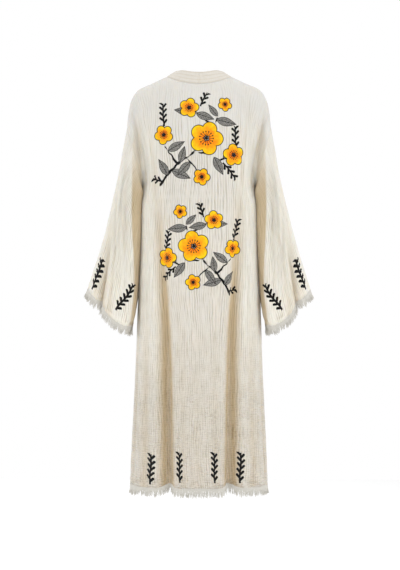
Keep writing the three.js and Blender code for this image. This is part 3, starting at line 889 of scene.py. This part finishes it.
# The blossom branch, from the middle of its place. Turns are in degrees.
Twig = namedtuple("Twig", "x y to_x to_y half")
TWIGS = (
    Twig(-118, -130, -64, -72, 4.6),
    Twig(-64, -72, -12, -30, 4.0),
    Twig(-12, -30, 40, 36, 3.4),
    Twig(40, 36, 62, 84, 2.9),
    Twig(62, 84, 84, 136, 2.2),
    Twig(-64, -72, -106, -10, 2.8),
    Twig(-106, -10, -104, 60, 2.2),
    Twig(-12, -30, 62, -56, 2.8),
    Twig(62, -56, 122, -40, 2.1),
    Twig(44, 44, -12, 82, 2.6),
    Twig(-12, 82, -34, 118, 2.1),
    Twig(-38, -50, 14, -118, 2.4),
)
Bloom = namedtuple("Bloom", "x y radius turn")
BLOOMS = (
    Bloom(-106, 18, 29, 12),
    Bloom(104, -42, 33, 62),
    Bloom(-30, 98, 30, 40),
    Bloom(80, 110, 22, 20),
    Bloom(8, -108, 25, 30),
    Bloom(22, 6, 50, 34),
)
Leaf = namedtuple("Leaf", "x y turn length")
LEAVES = (
    Leaf(-92, -102, 122, 56),
    Leaf(-80, -88, -24, 60),
    Leaf(-92, -30, 28, 56),
    Leaf(-56, -66, 74, 50),
    Leaf(-8, 80, -18, 56),
    Leaf(52, 62, -12, 62),
    Leaf(56, 72, 128, 44),
    Leaf(44, -50, -62, 58),
    Leaf(72, -54, 52, 50),
    Leaf(-26, -64, -134, 54),
    Leaf(-16, 84, 172, 60),
)
SPRIGS = (
    Leaf(-104, 44, 8, 76),
    Leaf(4, 102, -26, 52),
    Leaf(112, -22, 4, 70),
    Leaf(70, -66, -138, 66),
    Leaf(-108, -120, 74, 44),
)
# The middles of the branch's two places, across and up from the hem, and the turn that it has there
Place = namedtuple("Place", "x y turn")
UPPER_PLACE = Place(0, 1022, 0)
LOWER_PLACE = Place(4, 702, -8)
LOWER_SCALE = 0.92

Print = namedtuple("Print", "x y turn height wide", defaults=(1.0,))
HEM_SPRIGS = (
    Print(-177, 11, -3, 94, 1.25),
    Print(-56, 18, 2, 94, 0.8),
    Print(47, 17, 2, 94, 0.88),
    Print(152, 15, 0, 95, 1.05),
)
SLEEVE_SPRIGS = (
    Print(71, 15, 1, 100, 1.5),
    Print(193, 31, -18, 104, 1.15),
)


def paint(tree, colour, over, amount, **blend):
    return add(tree, "Mix", {0: amount, 6: colour, 7: over}, 2, data_type="RGBA", **blend)


def set_at(tree, place, spot, scale=(1, 1, 1)):
    """The place as it is seen from a motif that stands at this spot, turned and scaled."""
    return add(tree, "Mapping", {
        "Vector": place, "Location": (spot.x, spot.y, 0), "Scale": scale,
        "Rotation": (0, 0, math.radians(spot.turn))}, vector_type="TEXTURE")


def nearer(tree, off, other):
    return other if off is None else add(tree, "MINIMUM", (off, other))


def print_sprigs(tree, colour, place, prints, group, looks):
    """Each sprig stands on its own place in the print, in ink."""
    nearest = None
    for spot in prints:
        moved = set_at(tree, place, spot, (spot.wide, 1, 1))
        off = add(tree, "Group", {"Place": moved, "Height": spot.height}, node_tree=group)
        nearest = nearer(tree, nearest, off)
    amount = add(tree, "MapRange", (nearest, 0.6, -0.1))
    return paint(tree, colour, looks.ink, amount)


def print_branch(tree, colour, place, stroke, sprig, looks):
    """The blossom branch, twice: as drawn in the upper place, and mirrored in the lower one."""
    groups = stroke, leaf_group(), blossom_group()
    upper = set_at(tree, place, UPPER_PLACE)
    lower = set_at(tree, place, LOWER_PLACE, (-LOWER_SCALE, LOWER_SCALE, 1))
    up = add(tree, "SeparateXYZ", (place,)).node.outputs[1]
    above = add(tree, "GREATER_THAN", (up, (UPPER_PLACE.y + LOWER_PLACE.y) / 2))
    spot = add(tree, "Mix", {0: above, 4: lower, 5: upper}, 1, data_type="VECTOR")
    sway = add(tree, "TexNoise", {"Vector": spot, "Scale": 1 / 34, "Detail": 1.0}, 1)
    sway = add(tree, "VECTOR SUBTRACT", (sway, (0.5, 0.5, 0.5)))
    sway = add(tree, "VECTOR SCALE", {0: sway, "Scale": 18.0})
    bent = add(tree, "VECTOR ADD", (spot, sway))
    bark = add(tree, "TexNoise", {"Vector": spot, "Scale": 1 / 5, "Detail": 2.0})
    bark = add(tree, "MULTIPLY_ADD", (bark, 1.0, -0.8))
    nearest = None
    for twig in TWIGS:
        off = add(tree, "Group", {
            "Place": bent, "From": (twig.x, twig.y, 0), "Half": twig.half, "Taper": TWIG_TAPER,
            "Span": (twig.to_x - twig.x, twig.to_y - twig.y, 0)}, node_tree=groups[0])
        nearest = nearer(tree, nearest, off)
    nearest = add(tree, "ADD", (nearest, bark))
    for spray in SPRIGS:
        moved = set_at(tree, spot, spray)
        off = add(tree, "Group", {"Place": moved, "Height": spray.length}, node_tree=sprig)
        nearest = add(tree, "MINIMUM", (nearest, off))
    amount = add(tree, "MapRange", (nearest, 0.5, -0.5))
    colour = paint(tree, colour, looks.ink, amount)
    shade = add(tree, "TexNoise", {"Vector": spot, "Scale": 1 / 6, "Detail": 3.0})
    shade = add(tree, "MapRange", (shade, 0.35, 0.65))
    grey = paint(tree, looks.leaf_grey, looks.ink, add(tree, "MULTIPLY", (shade, 0.45)))
    for leaf in LEAVES:
        moved = set_at(tree, spot, leaf)
        part = add(tree, "Group", {"Place": moved, "Length": leaf.length}, node_tree=groups[1])
        colour = paint(tree, colour, grey, part)
        colour = paint(tree, colour, looks.ink, part.node.outputs["Lines"])
    wash = add(tree, "TexNoise", {
        "Vector": spot, "Scale": 1 / 17, "Detail": 5.0, "Roughness": 0.62, "Distortion": 0.6})
    wash = add(tree, "MULTIPLY_ADD", (wash, 1.9, -0.95))
    for bloom in BLOOMS:
        moved = set_at(tree, spot, bloom)
        part = add(tree, "Group", {"Place": moved, "Radius": bloom.radius}, node_tree=groups[2])
        outputs = part.node.outputs
        glow = add(tree, "ADD", (outputs["Glow"], wash), use_clamp=True)
        petals = paint(tree, looks.yellow, looks.orange, glow)
        colour = paint(tree, colour, petals, outputs["Petals"])
        colour = paint(tree, colour, looks.ink, outputs["Lines"])
    return colour


def new_material(name):
    material = bpy.data.materials.new(name)
    material.use_nodes = True
    return material, material.node_tree


def give_shader(tree, **inputs):
    """Sets the shader's inputs, or links them, by their names with a low line for each space."""
    shader = tree.nodes["Principled BSDF"]
    for name, value in inputs.items():
        socket = shader.inputs[name.replace("_", " ")]
        if isinstance(value, bpy.types.NodeSocket):
            tree.links.new(value, socket)
        else:
            socket.default_value = value


def in_mm(tree, uv_map):
    """A UV map of the cloth's real lengths, in millimetres."""
    place = add(tree, "UVMap", uv_map=uv_map)
    return add(tree, "VECTOR SCALE", {0: place, "Scale": 1 / MM})


def streaks(tree, place, long, high, detail, **more):
    """Noise drawn out to about this many millimetres across and up the cloth."""
    spot = add(tree, "VECTOR MULTIPLY", (place, (1 / long, 1 / high, 1)))
    inputs = {"Vector": spot, "Scale": 1.0, "Detail": detail, **more}
    return add(tree, "TexNoise", inputs, noise_dimensions="2D")


def gauze(name, looks, sizes, prints=(), branch=False, waffle=1.0, pale=0.0,
          pale_top=(1120, 980, 0)):
    """Crinkled double cotton gauze: matt ivory, painted warm shade in its folds, the print soaked in.

    Waffle is how strongly the tacked grid shows. Pale is the least share of the painted light on the
    sides, and pale_top is the height above which it fades, where it ends, and its share there.
    """
    material, tree = new_material(name)
    cloth, threads = in_mm(tree, "cloth"), in_mm(tree, "threads")
    fold = add(tree, "Attribute", output=2, attribute_name="fold")
    pleat = add(tree, "Attribute", output=2, attribute_name="pleat")
    # Fine crinkles run with the warp: about 2 mm apart, and 50 mm long
    fine = streaks(tree, threads, 2.1, 48, 2.0, Roughness=0.55)
    # Slubs are thicker places in the weft yarn: 1.5 mm high and 25 mm long
    slub = streaks(tree, cloth, 24, 1.6, 1.0)
    # The two layers are tacked in a grid, drawn 6.4 mm apart, which shows most near the hem
    grid = add(tree, "TexNoise", {"Vector": cloth, "Scale": 1 / 20, "Detail": 1.0}, 1)
    grid = add(tree, "VECTOR SCALE", {0: grid, "Scale": 9.0})
    grid = add(tree, "VECTOR ADD", (cloth, grid))
    grid = add(tree, "VECTOR SCALE", {0: grid, "Scale": 2 * math.pi / 6.4})
    grid = add(tree, "VECTOR COSINE", (grid,))
    grid = add(tree, "SeparateXYZ", (grid,))
    grid = add(tree, "ADD", (grid, grid.node.outputs[1]))
    up = add(tree, "SeparateXYZ", (cloth,)).node.outputs[1]
    low = add(tree, "MapRange", (up, 520.0, 230.0, 0.12, waffle))
    patchy = add(tree, "TexNoise", {"Vector": cloth, "Scale": 1 / 38, "Detail": 2.0})
    patchy = add(tree, "MapRange", (patchy, 0.35, 0.7, 0.6, 1.0))
    low = add(tree, "MULTIPLY", (low, patchy))
    grid = add(tree, "MULTIPLY", (grid, low))
    # Plain weave, drawn 1.3 mm apart, coarser than the real thread so that it shows
    weave = add(tree, "VECTOR SCALE", {0: cloth, "Scale": 2 * math.pi / 1.3})
    weave = add(tree, "VECTOR SINE", (weave,))
    weave = add(tree, "SeparateXYZ", (weave,))
    weave = add(tree, "MULTIPLY", (weave, weave.node.outputs[1]))
    # Wrinkles across the cloth are about 3 mm high and 14 mm long, and strongest just above the hem
    ripple = streaks(tree, cloth, 14, 3, 1.0)
    hem = add(tree, "MapRange", (up, 34.0, 8.0, 0.0, 0.8 * waffle))
    rippled = add(tree, "ADD", (low, hem))
    long = streaks(tree, cloth, 60, 6, 1.0, Distortion=0.3)
    long = add(tree, "MULTIPLY", (long, hem))
    raised = add(tree, "MULTIPLY", (ripple, rippled))
    height = 0.0
    for part, much in (
        (fine, 1.1), (slub, 0.25), (grid, 0.4), (long, 3.0), (raised, 1.6), (weave, 0.08),
    ):
        height = add(tree, "MULTIPLY_ADD", (part, much, height))
    bump = add(tree, "Bump", {"Strength": 1.0, "Distance": MM, "Height": height})
    # Painted shade: the folds and the underarm take a warm shade, with warm blotches at random
    blotch = add(tree, "TexNoise", {"Vector": cloth, "Scale": 1 / 90, "Detail": 3.0})
    blotch = add(tree, "MapRange", (blotch, 0.3, 0.7, 0.0, 0.08))
    shade = add(tree, "MULTIPLY_ADD", (fold, 1.0, blotch), use_clamp=True)
    high = add(tree, "MapRange", (up, 760.0, 1120.0))
    colour = paint(tree, looks.ivory, looks.cool_ivory, high)
    # Painted light: the outer sides and the sleeves are painted paler, fading out towards the top and,
    # on the body, towards the hem
    from_hem = add(tree, "MapRange", (up, 250.0, 650.0, pale, 1.0))
    to_top = add(tree, "MapRange", (up, *pale_top, 1.0))
    aside = work(tree, cloth, ("SeparateXYZ",), ("ABSOLUTE",), ("MapRange", 80.0, 165.0, pale, 1.0),
                 ("MULTIPLY", from_hem), ("MULTIPLY", to_top))
    colour = paint(tree, colour, looks.side_light_ivory, aside)
    colour = paint(tree, colour, looks.fold_shade, shade)
    # Painted shade: the pleats' and crinkles' valleys, the tacked grid's hollows and the cross
    # wrinkles take the pleat shade, and the cloth is painted darker towards the hem
    valley = add(tree, "MapRange", (pleat, 0.0, -0.8, 0.0, 0.7))
    crease = add(tree, "MapRange", (fine, 0.5, 0.28, 0.0, 0.35))
    smooth = add(tree, "MapRange", {0: high, 3: 1.0, 4: 0.3})
    crease = add(tree, "MULTIPLY", (crease, smooth))
    grid_and_hem_shade = add(tree, "MapRange", (grid, 0.0, -1.3, 0.0, 0.26))
    across = work(tree, ripple, ("MapRange", 0.5, 0.3, 0.0, 0.34), ("MULTIPLY", rippled))
    grid_and_hem_shade = add(tree, "ADD", (grid_and_hem_shade, across))
    grid_and_hem_shade = add(tree, "MULTIPLY_ADD", (low, 0.16, grid_and_hem_shade))
    shade = add(tree, "ADD", (valley, crease))
    shade = add(tree, "ADD", (shade, grid_and_hem_shade), use_clamp=True)
    dim = paint(tree, (1, 1, 1, 1), looks.pleat_shade, shade)
    colour = paint(tree, colour, dim, 1.0, blend_type="MULTIPLY")
    if prints:
        stroke = twig_group()
        sprig = sprig_group(sizes, stroke)
        colour = print_sprigs(tree, colour, cloth, prints, sprig, looks)
    if branch:
        colour = print_branch(tree, colour, cloth, stroke, sprig, looks)
    give_shader(tree, Base_Color=colour, Normal=bump, Roughness=0.92, Specular_IOR_Level=0.2,
                Sheen_Weight=0.06, Sheen_Roughness=0.6)
    # Light comes through the thin cloth, warmer than it went in
    give_shader(tree, Subsurface_Weight=0.3, Subsurface_Radius=(1.0, 0.72, 0.45),
                Subsurface_Scale=3 * MM)
    return material


def stitched_gauze(name, looks):
    """Folded gauze sewn flat in rows: small dents where each stitch draws the cloth in."""
    material, tree = new_material(name)
    threads = in_mm(tree, "threads")
    x = add(tree, "SeparateXYZ", (threads,))
    stitch = None
    for row in STITCH_ROWS:
        off = work(tree, x, ("SUBTRACT", row), ("ABSOLUTE",))
        stitch = nearer(tree, stitch, off)
    line = add(tree, "MapRange", (stitch, 1.4, 0.4))
    dash = add(tree, "PINGPONG", (x.node.outputs[1], 1.7))  # stitches 3.4 mm apart
    dash = add(tree, "MapRange", (dash, 0.35, 0.75, 0.35, 1.0))
    line = add(tree, "MULTIPLY", (line, dash))
    fine = streaks(tree, threads, 26, 1.8, 2.0)
    height = add(tree, "MULTIPLY_ADD", (line, -0.5, fine))
    bump = add(tree, "Bump", {"Strength": 0.9, "Distance": MM, "Height": height})
    # Painted shade: the crinkles' valleys and the stitch rows take the fold shade, and the whole band
    # at least a fifth of it
    shade = add(tree, "MapRange", (fine, 0.5, 0.25, 0.2, 0.4))
    shade = add(tree, "MULTIPLY_ADD", (line, 0.3, shade), use_clamp=True)
    colour = paint(tree, looks.cool_ivory, looks.fold_shade, shade)
    give_shader(tree, Base_Color=colour, Normal=bump, Roughness=0.9, Specular_IOR_Level=0.2,
                Sheen_Weight=0.1)
    return material


def frayed_cotton(name, looks):
    """Loose cotton yarn: whiter than the cloth, because the light comes through it."""
    material, tree = new_material(name)
    place = add(tree, "TexCoord", output=3)
    twist = add(tree, "TexNoise", {"Vector": place, "Scale": 1 / (1.2 * MM), "Detail": 2.0})
    amount = add(tree, "MapRange", (twist, 0.35, 0.65, 0.0, 0.3))
    bump = add(tree, "Bump", {"Strength": 0.5, "Distance": 0.3 * MM, "Height": twist})
    colour = paint(tree, looks.frayed, looks.ivory, amount)
    give_shader(tree, Base_Color=colour, Normal=bump, Roughness=0.95, Specular_IOR_Level=0.15,
                Sheen_Weight=0.2)
    return material


def known(name, make, *given, **more):
    """A material by its name, made the first time that it is asked for."""
    return bpy.data.materials.get(name) or make(name, *given, **more)


# ---- sizes, colours and operators

def length(name, description, default, low=0.0):
    return FloatProperty(name=name, description=description, default=default, min=low, precision=5,
                         subtype="DISTANCE", unit="LENGTH")


def colour(name, description, default):
    return FloatVectorProperty(name=name, description=description, default=linear(default), size=4,
                               min=0, max=1, subtype="COLOR")


class RobeSizes(bpy.types.PropertyGroup):
    wall: length("Cloth", "Thickness of the double gauze", 0.0014)
    pleat_pitch: length("Pleat spacing", "Distance between the gauze's pleats", 0.0070)
    pleat_depth: length("Pleat depth", "How far a pleat stands off the cloth", 0.0011)
    thread_length: length("Thread length", "The longest loose thread of a frayed edge", 0.0255)
    thread_thickness: length("Thread thickness", "Across one loose thread", 0.0015)
    thread_pitch: length("Thread spacing", "Distance between the loose threads", 0.0006)
    lock_width: length("Lock width", "Loose threads gather in locks about this wide", 0.0075)
    leaf_length: length("Leaf length", "A leaf of the printed sprigs", 0.0165)
    leaf_width: length("Leaf width", "Across a leaf of the printed sprigs", 0.0072)


class RobeLooks(bpy.types.PropertyGroup):
    ivory: colour("Ivory", "The gauze in the light", 0xdbd7cf)
    cool_ivory: colour("Cool ivory", "The gauze across the shoulders", 0xd8d6d1)
    # Painted light: the paler gauze of the sleeves and the sides
    side_light_ivory: colour("Pale ivory", "The gauze of the sleeves and the sides", 0xe9e6dd)
    fold_shade: colour("Fold shade", "The gauze deep in its folds", 0xc9b798)
    pleat_shade: colour("Pleat shade", "Multiplies the gauze at its pleats' bottoms", 0xd0cbc1)
    ink: colour("Ink", "The print's black", 0x0b0b0b)
    leaf_grey: colour("Leaf grey", "The broad leaves of the print", 0x8f8d88)
    yellow: colour("Yellow", "The blossoms at their edges", 0xf5cf14)
    orange: colour("Orange", "The blossoms inside", 0xf57d0c)
    frayed: colour("Frayed", "The loose threads", 0xcbc8c0)


class StudioSizes(bpy.types.PropertyGroup):
    distance: length("Camera distance", "From the camera to the middle of the robe", 5.0)
    height: length("Camera height", "Above the neck points", -0.6246, low=-10)
    aside: length("Camera aside", "Towards the wearer's left", -0.003, low=-10)
    lens: FloatProperty(name="Lens", description="Focal length", default=105.26,
                        subtype="DISTANCE_CAMERA", unit="CAMERA")
    floor: length("Floor", "How far the floor lies below the neck points", 1.56)
    sky: FloatProperty(name="Studio light", description="Strength of the light from all round",
                       default=0.6, min=0)
    key: FloatProperty(name="Lamps", description="Power that each lamp has a share of", default=48,
                       min=0, subtype="POWER", unit="POWER")


class ROBE_OT_back_panel(bpy.types.Operator):
    """Lays the printed back panel, with its hem's frayed edge"""
    bl_idname = "robe.back_panel"
    bl_label = "Back panel"

    def execute(self, context):
        sizes, looks = context.scene.robe_sizes, context.scene.robe_looks
        plain = known("Crinkled cotton gauze", gauze, looks, sizes)
        printed = known("Printed cotton gauze, back", gauze, looks, sizes, HEM_SPRIGS, True)
        place = body_place(BACK, BACK_SOFT_FOLDS)
        bm, edge = lay_cloth(400, 92, place, lambda spot: relief(spot, sizes, 3.0),
                             flip=True, hand=-1, middle=0.5, level=-HEM_DOWN * MM)
        piece = make_sheet("back_panel", bm, [printed, plain], sizes.wall)
        fray = known("Frayed cotton thread", frayed_cotton, looks)
        fringe = make_fringe("fringe_hem_back", edge, False, True, sizes, 11, [plain, fray])
        return {"FINISHED"}


class ROBE_OT_front_panels(bpy.types.Operator):
    """Lays the two front panels, with their hems' frayed edges"""
    bl_idname = "robe.front_panels"
    bl_label = "Front panels"

    def execute(self, context):
        sizes, looks = context.scene.robe_sizes, context.scene.robe_looks
        plain = known("Crinkled cotton gauze", gauze, looks, sizes)
        fray = known("Frayed cotton thread", frayed_cotton, looks)
        for side, word, seed in ((1, "left", 21.0), (-1, "right", 34.0)):
            place = body_place(FRONT, FRONT_SOFT_FOLDS, side)
            bm, edge = lay_cloth(140, 92, place, lambda spot: relief(spot, sizes, seed),
                                 flip=side < 0, hand=side, level=-HEM_DOWN * MM)
            piece = make_sheet(f"front_panel_{word}", bm, [plain], sizes.wall)
            fringe = make_fringe(
                f"fringe_hem_front_{word}", edge, False, side < 0, sizes, int(seed), [plain, fray])
        return {"FINISHED"}


class ROBE_OT_sleeves(bpy.types.Operator):
    """Lays the two wide sleeves, with their printed sprigs and frayed cuffs"""
    bl_idname = "robe.sleeves"
    bl_label = "Sleeves"

    def execute(self, context):
        sizes, looks = context.scene.robe_sizes, context.scene.robe_looks
        plain = known("Crinkled cotton gauze", gauze, looks, sizes)
        printed = known("Printed cotton gauze, sleeve", gauze, looks, sizes, SLEEVE_SPRIGS,
                        waffle=0.12, pale=1.0, pale_top=(500, 340, 0.4))
        fray = known("Frayed cotton thread", frayed_cotton, looks)
        for side, word, seed in ((1, "left", 45.0), (-1, "right", 58.0)):
            place = sleeve_place(side)
            bm, edge = lay_cloth(350, 60, place, lambda spot: relief(spot, sizes, seed),
                                 flip=side < 0, middle=0.5, closed=True)
            piece = make_sheet(f"sleeve_{word}", bm, [printed, plain], sizes.wall)
            fringe = make_fringe(
                f"fringe_cuff_{word}", edge, True, side < 0, sizes, int(seed), [plain, fray])
        return {"FINISHED"}


class ROBE_OT_neckband(bpy.types.Operator):
    """Lays the two halves of the neckband, with their rows of stitches"""
    bl_idname = "robe.neckband"
    bl_label = "Neckband"

    def execute(self, context):
        looks = context.scene.robe_looks
        stitched = known("Stitched gauze band", stitched_gauze, looks)
        for side, word, seed in ((1, "left", 71.0), (-1, "right", 83.0)):
            bm, _ = lay_cloth(24, 420, band_place(side), lambda spot: band_relief(spot, seed),
                              flip=side > 0)
            piece = make_sheet(f"neckband_{word}", bm, [stitched], BAND_WALL * MM)
        return {"FINISHED"}


class ROBE_OT_studio(bpy.types.Operator):
    """Makes the pale floor, the soft light and the camera behind the robe"""
    bl_idname = "robe.studio"
    bl_label = "Studio"

    def execute(self, context):
        scene = context.scene
        studio = scene.robe_studio
        scene.view_settings.view_transform = "Standard"
        world = bpy.data.worlds.new("Studio")
        world.use_nodes = True
        # The backdrop looks white, and the light that comes from it is softer than that
        sky = world.node_tree.nodes["Background"]
        seen = add(world.node_tree, "LightPath")
        strength = add(world.node_tree, "MapRange", {0: seen, 3: studio.sky, 4: 1.0})
        world.node_tree.links.new(strength, sky.inputs["Strength"])
        sky.inputs["Color"].default_value = (1, 1, 1, 1)
        scene.world = world

        bm = bmesh.new()
        bmesh.ops.create_grid(bm, x_segments=1, y_segments=1, size=3)
        bmesh.ops.translate(bm, verts=bm.verts[:], vec=(0, 0, -studio.floor))
        # Seamless paper: flat white, without a shine
        paper, tree = new_material("White paper")
        give_shader(tree, Base_Color=linear(0xffffff), Roughness=1.0, Specular_IOR_Level=0.0)
        floor = make_object("floor", bm, [paper])

        middle = Vector((0, 0, studio.height))
        for name, spot, size, share in (
            ("Key", (-3.2, 3.6, 1.1), 2.2, 0.75),
            ("Fill", (3.4, 3.4, 0.5), 2.6, 0.4),
            ("Straight", (0.0, 5.6, -0.2), 1.4, 1.1),
            ("Right side", (-4.7, 1.6, 0.6), 2.2, 1.15),
            ("Left side", (4.7, 1.6, 0.6), 2.2, 1.15),
            ("Front", (1.8, -3.6, 1.4), 2.6, 0.7),
            ("Overhead", (0.0, -0.6, 3.2), 5.0, 1.5),
        ):
            data = bpy.data.lights.new(name, "AREA")
            data.size = size
            data.energy = studio.key * share
            lamp = bpy.data.objects.new(name, data)
            lamp.location = spot
            lamp.rotation_euler = (middle - Vector(spot)).to_track_quat("-Z", "Y").to_euler()
            scene.collection.objects.link(lamp)

        view = bpy.data.cameras.new("Camera")
        view.lens = studio.lens
        camera = bpy.data.objects.new("Camera", view)
        camera.location = (studio.aside, studio.distance, studio.height)
        camera.rotation_euler = (math.pi / 2, 0, math.pi)
        scene.collection.objects.link(camera)
        scene.camera = camera
        return {"FINISHED"}


OPERATORS = (
    ROBE_OT_studio, ROBE_OT_back_panel, ROBE_OT_front_panels, ROBE_OT_sleeves, ROBE_OT_neckband)


class ROBE_PT_sidebar(bpy.types.Panel):
    """The robe's sizes, colours and pieces"""
    bl_idname = "ROBE_PT_sidebar"
    bl_label = "Kimono robe"
    bl_space_type = "VIEW_3D"
    bl_region_type = "UI"
    bl_category = "Robe"

    def draw(self, context):
        scene = context.scene
        for group in (scene.robe_sizes, scene.robe_looks, scene.robe_studio):
            box = self.layout.box()
            for name in group.__annotations__:
                box.prop(group, name)
        for operator in OPERATORS:
            self.layout.operator(operator.bl_idname)


GROUPS = {"robe_sizes": RobeSizes, "robe_looks": RobeLooks, "robe_studio": StudioSizes}


def register():
    for kind in (*GROUPS.values(), *OPERATORS, ROBE_PT_sidebar):
        bpy.utils.register_class(kind)
    for name, kind in GROUPS.items():
        setattr(bpy.types.Scene, name, PointerProperty(type=kind))


def unregister():
    for name in GROUPS:
        delattr(bpy.types.Scene, name)
    for kind in reversed((*GROUPS.values(), *OPERATORS, ROBE_PT_sidebar)):
        bpy.utils.unregister_class(kind)


def main():
    register()
    for operator in OPERATORS:
        group, name = operator.bl_idname.split(".")
        getattr(getattr(bpy.ops, group), name)()
    bpy.context.view_layer.update()


if __name__ == "__main__":
    main()
